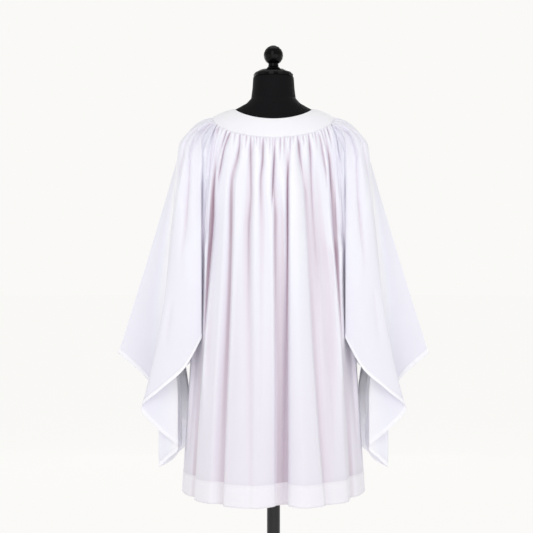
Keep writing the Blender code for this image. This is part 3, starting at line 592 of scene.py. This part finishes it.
def body_surface(folds, gathers, creases, face):
    """The fine middle surface of a body panel."""
    half = YOKE_HALF_COLUMNS + ARMHOLE_COLUMNS
    columns = np.linspace(-half, half, 2 * half * BODY_COLUMNS_FINE + 1)
    from_middle = np.abs(columns)
    side = np.where(columns < 0, -1.0, 1.0)
    yoke_share = np.minimum(from_middle / YOKE_HALF_COLUMNS, 1.0)
    turn = np.radians(90.0 - yoke_share * (90.0 - BODY_CORNER_DEG))
    armhole_share = np.clip((from_middle - YOKE_HALF_COLUMNS) / ARMHOLE_COLUMNS, 0.0, 1.0)
    on_yoke = from_middle <= YOKE_HALF_COLUMNS
    top = np.where(on_yoke[:, None], under_yoke(face * turn), armhole_points(armhole_share, face))
    top[:, 0] *= side

    _, stations, degrees, *out_mm = zip(*(fold[:5] for fold in folds))
    around = np.radians(smooth_through(stations, degrees, columns))
    chest_out, hem_out = (smooth_through(stations, np.array(mm) / MM, columns) for mm in out_mm)
    hem = np.stack([HEM_HALF_WIDTH * np.sin(around), face * HEM_DEPTHS[face] * np.cos(around),
                    np.full(len(columns), HEM_Z)], axis=-1)
    length = top[:, 2] - HEM_Z
    down = row_shares(length, BODY_HEM_DEPTH, BODY_ROWS, BODY_ROW_POWER, BODY_BAND_ROWS)
    flare = BODY_FLARE * np.cos(around) ** 2 - SIDE_HANG * np.sin(around) ** 2
    swing = down + flare * down * (1 - down) ** FLARE_POWER
    points = top + (hem - top) * np.stack([swing, swing, down], axis=-1)
    drop = down * length

    to_chest = swing / CHEST_REACH
    to_chest = ease(to_chest) * CHEST_EASED + np.clip(to_chest, 0, 1) * (1 - CHEST_EASED)
    to_hem = np.clip((swing - CHEST_REACH) / (1 - CHEST_REACH), 0.0, 1.0)
    out = chest_out * to_chest + (hem_out - chest_out) * to_hem
    on_edge = np.where(on_yoke, ((yoke_share - PUSH_STARTS) / (1 - PUSH_STARTS)).clip(0) ** 2,
                       (1 - armhole_share / PUSH_ENDS).clip(0))
    push = SHOULDER_PUSH * on_edge * (1 - np.exp(-drop / SHOULDER_PUSH_DROP)) * (1 - down)
    points[..., 0] += side * SHOULDER_PUSH_WAY[0] * push
    points[..., 1] += face * SHOULDER_PUSH_WAY[1] * push

    sway_stations, *sway_mm = zip(*((fold[1], 0, *fold[5]) for fold in folds if len(fold) > 5))
    sway_at = np.array([smooth_through(sway_stations, mm, columns) for mm in sway_mm]) / MM
    sway = [smooth_through((0.0, *SWAY_DOWN), at, share) for at, share in zip(sway_at.T, down.T)]
    points[..., 0] += np.stack(sway, axis=1)

    placed = []
    for x, depth, half_width, reach in gathers:
        gather_turn = math.acos(abs(x) / MM / YOKE_EDGE[0])
        share = math.copysign((math.pi / 2 - gather_turn) / math.radians(90.0 - BODY_CORNER_DEG), x)
        placed.append((share * YOKE_HALF_COLUMNS, depth, half_width / MM / COLUMN_WIDTH, reach))
    short = gather_relief(columns, drop, placed)
    drawn = drawn_relief(points, creases)
    starts = RELIEF_AT_SEAM + (1 - RELIEF_AT_SEAM) * ease(drop / GATHER_STARTS)
    fade = np.where(on_yoke, 1.0, grown(drop, ARMHOLE_RELIEF)) * starts
    fade = fade * (1 - grown(from_middle, SIDE_CALM))
    puff = GATHER_PUFF * starts * (1 - ease(drop / GATHER_PUFF_REACH))
    puff = puff * (1 - grown(from_middle, PUFF_FADES))
    room = RELIEF_ROOM + puff + RELIEF_ROOM_SLOPE * drop
    relief = (short + drawn) * fade
    relief = np.where(relief > 0, room * np.tanh(relief / room), relief)
    across = room * np.tanh(short * fade / room)
    points[..., 0] -= side * np.cos(turn) * (across - puff) * SIDEWAYS_SHARE
    points[..., 1] += face * (out + puff * np.sin(turn) - relief) + face * SIDE_SEAM_STEP
    return points


# ---- Sleeves


def sleeve_half(face):
    """The right sleeve's back or front half: columns from the underarm to the tip, control points in
    rows from the seam to the hem, and the way out from the seam."""
    folds = SLEEVE_FOLDS
    if face == FRONT:
        folds = [fold[:3] + (FRONT_TUCKS.get(fold[0], fold[3]),) + fold[4:] for fold in folds]
    _, stations, *shapes, unfolded_x, powers, reaches = zip(*folds)
    runs = [np.arange(start, end, 1 / fine) for start, end, fine in SLEEVE_COLUMN_RUNS]
    columns = np.concatenate(runs + [[LAST_COLUMN]])
    shoulder_x, hem_x, depth, hem_z = (smooth_through(stations, shape, columns) for shape in shapes)
    folded, unfolded = np.array(shapes[1]), np.array(unfolded_x)

    inner_share = 1 - (1 - INNER_EDGE_ON_RAGLAN) * columns / INNER_EDGE_COLUMN
    outer_share = INNER_EDGE_ON_RAGLAN * (CORNER_COLUMN - columns) / (CORNER_COLUMN - INNER_EDGE_COLUMN)
    share = np.clip(np.where(columns <= INNER_EDGE_COLUMN, inner_share, outer_share), 0.0, 1.0)
    seam = armhole_points(share, face)
    outward = seam * np.array([1.0, 1.0, 0.0])
    outward /= np.linalg.norm(outward, axis=1, keepdims=True)
    on_armhole = (columns <= CORNER_COLUMN)[:, None]
    corner_turn = math.radians(SLEEVE_CORNER_DEG)
    turn = corner_turn * np.clip((LAST_COLUMN - columns) / (LAST_COLUMN - CORNER_COLUMN), 0.0, 1.0)
    top = np.where(on_armhole, seam, under_yoke(face * turn))
    outward = np.where(on_armhole, outward, np.stack([np.cos(turn), face * np.sin(turn), 0 * turn], axis=-1))

    hem = np.stack([hem_x, face * depth, hem_z], axis=-1)
    inner_knee = top + (hem - top) * np.array([INNER_KNEE_SWING, INNER_KNEE_SWING, INNER_KNEE_DROP])
    knee_z = np.minimum(SHOULDER_BREAK_Z, top[:, 2] - LEAST_SHOULDER_DROP)
    outer_knee = np.stack([shoulder_x, face * depth * SHOULDER_DEPTH_SHARE, knee_z], axis=-1)
    knee = np.where((columns < INNER_EDGE_COLUMN)[:, None], inner_knee, outer_knee)

    controls = []
    last_angle = math.radians(SHOULDER_STATIONS_DEG[-1])
    for degrees in SHOULDER_STATIONS_DEG:
        angle = math.radians(degrees)
        arc = np.array([math.sin(angle), math.sin(angle), 1 - math.cos(angle)])
        arc /= np.array([math.sin(last_angle), math.sin(last_angle), 1 - math.cos(last_angle)])
        way = SHOULDER_ROUNDNESS * arc + (1 - SHOULDER_ROUNDNESS) * angle / last_angle
        controls.append(top + (knee - top) * way)
    for down in SLEEVE_STATIONS_DOWN + (1.0,):
        reached = [min(down / reach, 1.0) ** power for power, reach in zip(powers, reaches)]
        end_x = smooth_through(stations, unfolded + (folded - unfolded) * reached, columns)
        end = np.stack([end_x, hem[:, 1], hem[:, 2]], axis=-1)
        controls.append(knee + (end - knee) * down)
    return columns, np.array(controls), outward


def sleeve_surface(side, back_creases, front_creases):
    """The whole sleeve's fine middle surface as rings, and its columns all round."""
    halves = []
    for face, creases in ((BACK, back_creases), (FRONT, front_creases)):
        columns, controls, outward = sleeve_half(face)
        along = lengths_along(controls)
        down = row_shares(along[-1], SLEEVE_HEM_DEPTH, SLEEVE_ROWS, SLEEVE_ROW_POWER, SLEEVE_BAND_ROWS)
        drop = down * along[-1]
        lines = [points_along(along[:, j], controls[:, j], drop[:, j]) for j in range(len(columns))]
        lift = outward[None] * SLEEVE_LIFT * grown(drop, SLEEVE_LIFT_SPAN)[..., None]
        points = np.stack(lines, axis=1) + lift
        relief = gather_relief(columns, drop, SLEEVE_GATHERS) + crease_relief(columns, down, SLEEVE_CREASES)
        points[..., 0] *= side
        normal = grid_normals(points, False) * (side * face)
        facing = grown(face * normal[..., 1], FACING_SPAN) * grown(columns, OUTER_FACE)
        relief += drawn_relief(points, creases) * facing
        relief *= grown(columns, UNDERARM_CALM)
        relief *= np.where(columns < CORNER_COLUMN, grown(drop, SLEEVE_ARMHOLE_RELIEF), 1.0)
        points -= normal * relief[..., None]
        halves.append(points)
    back, front = halves
    return np.concatenate([back, front[:, -2:0:-1]], axis=1), np.concatenate([columns, columns[-2:0:-1]])


# ---- Meshes


def grid_normals(points, closed, flip=False):
    """Unit normals of a grid of points."""
    if closed:
        across = np.roll(points, -1, axis=1) - np.roll(points, 1, axis=1)
    else:
        across = np.gradient(points, axis=1)
    down = np.gradient(points, axis=0)
    normal = np.cross(across, down) * (-1.0 if flip else 1.0)
    return normal / np.maximum(np.linalg.norm(normal, axis=2, keepdims=True), TINY)


def grid_faces(rows, columns, closed, flip):
    """Quads between neighbouring rows of points, as an array of point numbers."""
    j = np.arange(columns if closed else columns - 1)
    i = np.arange(rows - 1)[:, None] * columns
    after = (j + 1) % columns
    faces = np.stack([i + j, i + after, i + columns + after, i + columns + j], axis=-1).reshape(-1, 4)
    return faces[:, ::-1] if flip else faces


def blurred(values):
    """A grid of values, softened twice between neighbouring rows and columns in turn."""
    for _ in range(4):
        inner = (values[:-2] + 2 * values[1:-1] + values[2:]) / 4
        values = np.concatenate([values[:1], inner, values[-1:]]).T
    return values


def painted_shade_of(points, closed, flip, crest_share, folded=1.0, hem_shade=0.0, top_share=0.0):
    """Painted shade for the cloth's colour, from how deep each point lies between its neighbours across the
    folds.

    0 on the sharpest crests, painted as a highlight, FLAT_SHADE on flat cloth, 1 in a tight valley, painted
    as shade. The painted shade in the folds gets lighter towards the hem, where they open, and the cloth
    near the hem is painted darker. Folded is 0 in the sleeve's hollows, which are painted whiter.
    """
    normal = grid_normals(points, closed, flip)
    valley = np.zeros(points.shape[:2])
    crest = np.zeros(points.shape[:2])
    index = np.arange(points.shape[1])
    for reach, weight in SHADE_REACHES:
        left, right = (np.take(points, index + way, axis=1, mode="wrap" if closed else "clip")
                       for way in (-reach, reach))
        sunk = (((left + right) / 2 - points) * normal).sum(axis=2)
        span = np.linalg.norm(right - left, axis=2) / 2
        level = np.exp(-(((right - left)[..., 2] / SHADE_LEVEL_REACH) ** 2))
        steepness = sunk / np.maximum(span, SHADE_LEAST_SPAN) * weight * level
        valley = np.maximum(valley, steepness)
        crest = np.maximum(crest, -steepness)
    down = np.linspace(0.0, 1.0, len(points))[:, None]
    lighter = 1 - SHADE_FADE * grown(down, SHADE_FADES)
    valley = blurred(np.clip(valley, 0.0, 1.0) * lighter * folded)
    # painted highlight on the crests
    crest = blurred(np.clip(crest, 0.0, 1.0)) * (1 - grown(valley, CREST_GONE)) * crest_share
    # painted shade: darker towards the hem
    near_hem = hem_shade * (top_share + (1 - top_share) * ease(down))
    shade = FLAT_SHADE + valley * (1 - FLAT_SHADE) - crest * FLAT_SHADE * lighter + near_hem
    # painted light: where folded is 0, most of the shade is dropped, painting those hollows whiter
    return shade * (PAINTED_LIGHT_SHADE_SHARE + (1 - PAINTED_LIGHT_SHADE_SHARE) * folded)


def add_object(name, data):
    """A new object, linked to the scene."""
    made = bpy.data.objects.new(name, data)
    bpy.context.scene.collection.objects.link(made)
    return made


def add_mesh(name, points, faces, material):
    """A new mesh object of one material."""
    mesh = bpy.data.meshes.new(name)
    mesh.from_pydata(np.asarray(points).tolist(), [], np.asarray(faces).tolist())
    mesh.materials.append(material)
    return add_object(name, mesh)


def write_attribute(mesh, name, kind, domain, values):
    mesh.attributes.new(name, kind, domain).data.foreach_set("value", values)


def cloth_shell(name, material, points, closed, flip, wall, hem_out, band_row=0, double=1.0,
                fold_column=None, **shading):
    """A thin shell on a grid of points, with cloth coordinates in metres.

    From band_row down it stands hem_out proud and is coloured as double cloth, as far as double says.
    Fold_column has a sharp fold. The shading goes to the function that paints shade and highlights into the
    cloth's colour.
    """
    rows, columns, _ = points.shape
    points = points.copy()
    points[band_row:] += grid_normals(points, closed, flip)[band_row:] * hem_out
    shell = add_mesh(name, points.reshape(-1, 3), grid_faces(rows, columns, closed, flip), material)
    mesh = shell.data
    mesh.shade_smooth()

    along = np.linalg.norm(np.diff(points, axis=1, prepend=points[:, :1]), axis=2).mean(axis=0).cumsum()
    corner = np.empty(len(mesh.loops), np.int32)
    mesh.loops.foreach_get("vertex_index", corner)
    cloth_uv = np.stack([np.broadcast_to(along, (rows, columns)), lengths_along(points)], axis=-1)
    cloth_uv = cloth_uv.reshape(-1, 2)[corner]
    mesh.uv_layers.new(name="cloth").data.foreach_set("uv", cloth_uv.astype(np.float32).ravel())

    # painted shade and highlights from the folds' depth, written on the shell for the cloth's colour
    depth = painted_shade_of(points, closed, flip, **shading)
    write_attribute(mesh, "painted_fold_shade", "FLOAT", "POINT", depth.astype(np.float32).ravel())
    is_band = np.zeros((rows, columns), np.float32)
    is_band[band_row:] = double
    write_attribute(mesh, "hem_band", "FLOAT", "POINT", is_band.ravel())
    if fold_column is not None:
        ends = np.empty(len(mesh.edges) * 2, np.int32)
        mesh.edges.foreach_get("vertices", ends)
        row, column = np.divmod(ends.reshape(-1, 2), columns)
        along_fold = (column == fold_column).all(axis=1) & (row.min(axis=1) >= SHARP_FOLD_FROM * rows)
        write_attribute(mesh, "sharp_edge", "BOOLEAN", "EDGE", along_fold)

    thickness = shell.modifiers.new("wall", "SOLIDIFY")
    thickness.thickness = wall
    thickness.offset = 0.0
    return shell


def add_stitches(path, normals, closed, points, faces):
    """Adds small stitches along a path, lying on the cloth, to lists of points and faces."""
    if closed:
        path = np.concatenate([path, path[:1]])
        normals = np.concatenate([normals, normals[:1]])
    along = lengths_along(path)
    for start in (np.arange(int(along[-1] / STITCH_PITCH)) + STITCH_START) * STITCH_PITCH:
        a, b = (np.array([np.interp(at, along, path[:, axis]) for axis in range(3)])
                for at in (start, start + STITCH_PITCH * STITCH_LENGTH))
        normal = np.array([np.interp(start, along, normals[:, axis]) for axis in range(3)])
        way = (b - a) / max(np.linalg.norm(b - a), TINY)
        half = np.cross(normal, way) * STITCH_WIDTH / 2
        faces += [[len(points) + k for k in face] for face in STITCH_FACES]
        for end, lean in ((a, -1.0), (b, 1.0)):
            foot = end + way * lean * STITCH_SLANT
            sunk = foot - normal * STITCH_RISE * STITCH_SINK
            points += [foot + half, end + normal * STITCH_RISE, foot - half, sunk]


# ---- Materials


def feed(node, inputs):
    """Sets a node's inputs, each to a plain value or to what another node puts out."""
    for name, value in inputs.items():
        if isinstance(value, bpy.types.NodeSocket):
            node.id_data.links.new(value, node.inputs[name])
        else:
            node.inputs[name].default_value = value


def add_node(tree, kind, output, inputs, **settings):
    """One output of a new node."""
    node = tree.nodes.new(kind)
    for setting, value in settings.items():
        setattr(node, setting, value)
    feed(node, inputs)
    return node.outputs[output]


def new_material(name, base, roughness, metallic=0.0):
    """A material, its node tree and its shader."""
    material = bpy.data.materials.new(name)
    material.use_nodes = True
    shader = material.node_tree.nodes["Principled BSDF"]
    feed(shader, {"Base Color": (*base, 1.0), "Roughness": roughness, "Metallic": metallic})
    return material, material.node_tree, shader


def cloth_material(name, weave_scale, bump):
    """Thin plain-weave cloth: woven in its own coordinates, with painted shade in the folds, tinted mauve
    like a red robe showing through the thin cloth, and painted highlights on the crests, whiter at the hems.
    """
    material, tree, shader = new_material(name, base=(0.9, 0.9, 0.95), roughness=0.85)
    feed(shader, {"Sheen Weight": 0.25, "Sheen Roughness": 0.5, "Specular IOR Level": 0.25})
    # painted shade and highlights: the fold shade written on each shell picks the cloth's colour from a ramp
    depth = add_node(tree, "ShaderNodeAttribute", "Fac", {}, attribute_name="painted_fold_shade")
    band = add_node(tree, "ShaderNodeAttribute", "Fac", {}, attribute_name="hem_band")
    cloth = add_node(tree, "ShaderNodeUVMap", "UV", {}, uv_map="cloth")

    painted_shades = add_node(tree, "ShaderNodeValToRGB", "Color", {"Fac": depth})
    stops = painted_shades.node.color_ramp.elements
    for k, (position, colour) in enumerate(PAINTED_FOLD_SHADES):
        stop = stops[k] if k < len(stops) else stops.new(position)
        stop.position = position
        stop.color = (*colour, 1.0)
    cloud = add_node(tree, "ShaderNodeTexNoise", "Fac", {"Scale": 9.0, "Detail": 3.0, "Vector": cloth})
    tone = add_node(tree, "ShaderNodeMapRange", "Result", {"To Min": 0.985, "To Max": 1.0, "Value": cloud})
    toned = add_node(tree, "ShaderNodeMix", "Result", {"Factor": 1.0, "A": painted_shades, "B": tone},
                     data_type="RGBA", blend_type="MULTIPLY")
    strength = add_node(tree, "ShaderNodeMath", "Value", {0: band, 1: DOUBLE_STRENGTH}, operation="MULTIPLY")
    colour = add_node(tree, "ShaderNodeMix", "Result",
                      {"Factor": strength, "A": toned, "B": (*CLOTH_DOUBLE, 1.0)}, data_type="RGBA")

    warp, weft = (
        add_node(tree, "ShaderNodeTexWave", "Fac",
                 {"Scale": weave_scale, "Distortion": 0.6, "Detail": 1.0, "Vector": cloth},
                 wave_type="BANDS", bands_direction=direction)
        for direction in ("X", "Y")
    )
    height = add_node(tree, "ShaderNodeMath", "Value", {0: warp, 1: weft}, operation="MULTIPLY")
    normal = add_node(tree, "ShaderNodeBump", "Normal",
                      {"Strength": bump, "Distance": 0.0002, "Height": height})
    feed(shader, {"Base Color": colour, "Normal": normal})
    return material


def grained_material(name, base, roughness, metallic, scale, bump, specular):
    """A hard finish with a fine grain in its roughness and surface."""
    material, tree, shader = new_material(name, base, roughness, metallic)
    place = add_node(tree, "ShaderNodeTexCoord", "Object", {})
    grain = add_node(tree, "ShaderNodeTexNoise", "Fac", {"Scale": scale, "Detail": 4.0, "Vector": place})
    rough = add_node(tree, "ShaderNodeMapRange", "Result",
                     {"To Min": roughness * (1 - GRAIN), "To Max": roughness * (1 + GRAIN), "Value": grain})
    relief = add_node(tree, "ShaderNodeBump", "Normal",
                      {"Strength": bump, "Distance": 0.0003, "Height": grain})
    feed(shader, {"Specular IOR Level": specular, "Roughness": rough, "Normal": relief})
    return material


def pale_paint(name, albedo, glow):
    material, _, shader = new_material(name, [albedo * part for part in PALE], roughness=0.9)
    feed(shader, {"Specular IOR Level": 0.0, "Emission Color": (*PALE, 1.0), "Emission Strength": glow})
    return material


# ---- Pieces


def add_cloth(node, cut, stitch_rows, finishes, points, closed, flip, wall=CLOTH_WALL, hem_out=0.0, **looks):
    """A cloth piece that replaces a CAD node, with its stitches; its cut is not used."""
    cloth, thread = finishes
    piece = cloth_shell(f"{node}_cloth", cloth, points, closed, flip, wall, hem_out, **looks)
    normals = grid_normals(points, closed, flip)
    stitch_points, stitch_faces = [], []
    for row in stitch_rows:
        outside = points[row] + normals[row] * (hem_out + wall / 2)
        add_stitches(outside, normals[row], closed, stitch_points, stitch_faces)
    sewing = add_mesh(f"{node}_stitches", stitch_points, stitch_faces, thread)
    for made in (sewing, piece):
        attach(made, "root")
    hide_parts(node)


def add_body(finishes):
    panels = (
        ("body_back", BACK_FOLDS, BACK_GATHERS, BACK_CREASES, BACK),
        ("body_front", FRONT_FOLDS, FRONT_GATHERS, FRONT_CREASES, FRONT),
    )
    for node, *shape, face in panels:
        add_cloth(node, BODY_CUT, [BODY_ROWS + 1], finishes, body_surface(*shape, face), False, face == BACK,
                  hem_out=HEM_TURN, band_row=BODY_ROWS, double=BODY_BAND, crest_share=BODY_CREST_HIGHLIGHT,
                  hem_shade=BODY_HEM_PAINTED_SHADE)


def add_sleeves(finishes):
    """Each sleeve's front has the creases of the other sleeve's back, mirrored."""
    creases = {-1.0: BACK_LEFT_SLEEVE_CREASES, 1.0: BACK_RIGHT_SLEEVE_CREASES}
    for node, side in (("sleeve_left", -1.0), ("sleeve_right", 1.0)):
        mirrored = [(*crease[:5], {z: -x for z, x in crease[5].items()}) for crease in creases[-side]]
        points, columns = sleeve_surface(side, creases[side], mirrored)
        # painted light: the sleeve's inner side and the cloth behind its hanging folds keep little shade, so
        # they are painted whiter
        tucks = sum(np.exp(-(((columns - middle) / TUCK_HALF_WIDTH) ** 2)) for middle in TUCK_COLUMNS)
        hanging = grown(columns, HANGING_STARTS) * (1 - grown(columns, HANGING_ENDS))
        folded = grown(columns, SLEEVE_INNER_PAINTED_LIGHT) * (1 - np.minimum(tucks, 1.0))
        add_cloth(node, SLEEVE_CUT, [SLEEVE_ROWS + 1], finishes, points, True, side > 0,
                  hem_out=SLEEVE_HEM_TURN, band_row=SLEEVE_ROWS, fold_column=len(columns) // 2,
                  crest_share=SLEEVE_CREST_HIGHLIGHT, folded=folded, hem_shade=SLEEVE_HEM_PAINTED_SHADE * (1 - hanging),
                  top_share=SLEEVE_TOP_PAINTED_SHADE)


def add_yoke(finishes):
    turn = np.linspace(0, 2 * math.pi, YOKE_TURNS, endpoint=False)
    wander = PUCKER_WANDER * np.sin(turn * PUCKER_WANDERS_ROUND)
    puckers = PUCKER_HEIGHT * np.sin(turn * PUCKERS_ROUND + wander)
    rows = []
    for across in YOKE_ACROSS:
        ring = yoke_points(turn, across)
        rolled = -NECKLINE_ROLL * (1 - grown(across, NECKLINE_ROLL_SPAN))
        rolled -= EDGE_ROLL * grown(across, EDGE_ROLL_SPAN)
        ring[:, 2] += puckers * grown(across, PUCKER_SPAN) + rolled + YOKE_RISE
        rows.append(ring)
    add_cloth("yoke", YOKE_CUT, YOKE_STITCH_ROWS, finishes, np.array(rows), True, True, wall=YOKE_WALL,
              crest_share=SLEEVE_CREST_HIGHLIGHT)


def add_form():
    for *finish, nodes in FORM_FINISHES:
        material = grained_material(*finish)
        for node in nodes:
            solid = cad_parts[node]
            solid.data.materials.clear()
            solid.data.materials.append(material)


def add_stage():
    half = FLOOR_HALF_WIDTH
    corners = [(-half, -half, 0), (half, -half, 0), (half, half, 0), (-half, half, 0)]
    paint = pale_paint("floor_paint", FLOOR_ALBEDO, 1 - FLOOR_ALBEDO * FLOOR_LIGHT)
    floor = add_mesh("floor", corners, [(0, 1, 2, 3)], paint)
    floor.location.z = -FLOOR_DROP

    bpy.ops.mesh.primitive_uv_sphere_add(radius=ROOM_RADIUS, segments=48, ring_count=24)
    room = bpy.context.object
    room.name = "room"
    room.data.materials.append(pale_paint("room_paint", 0.0, 1.0))
    room.visible_diffuse = False
    room.visible_glossy = False
    room.visible_shadow = False


def add_lights():
    world = bpy.data.worlds.new("studio")
    bpy.context.scene.world = world
    world.use_nodes = True
    feed(world.node_tree.nodes["Background"], {"Color": (*PALE, 1.0), "Strength": AMBIENT})
    for name, place, size, watts in LIGHTS:
        data = bpy.data.lights.new(name, "AREA")
        data.shape = "DISK"
        data.size = size
        data.energy = watts
        light = add_object(name, data)
        light.location = place
        light.rotation_euler = (Vector(LIGHT_AIM) - Vector(place)).to_track_quat("-Z", "Y").to_euler()


def add_camera():
    data = bpy.data.cameras.new("camera")
    data.sensor_width = SENSOR_MM
    data.lens = SENSOR_MM * CAMERA_DISTANCE / (FRAME_PIXELS * METRES_A_PIXEL)
    data.shift_x = -OBJECT_RIGHT_OF_CENTRE / FRAME_PIXELS
    camera = add_object("camera", data)
    camera.location = (0.0, -CAMERA_DISTANCE, CAMERA_Z)
    camera.rotation_euler = (math.radians(90), 0.0, 0.0)
    bpy.context.scene.camera = camera


bpy.context.scene.view_settings.view_transform = "Standard"
add_camera()
add_lights()
add_stage()
cloth = cloth_material("white_cloth", weave_scale=700.0, bump=0.15)
thread, _, _ = new_material("white_thread", base=(0.93, 0.93, 0.96), roughness=0.6)
add_yoke((cloth, thread))
add_body((cloth, thread))
add_sleeves((cloth, thread))
add_form()
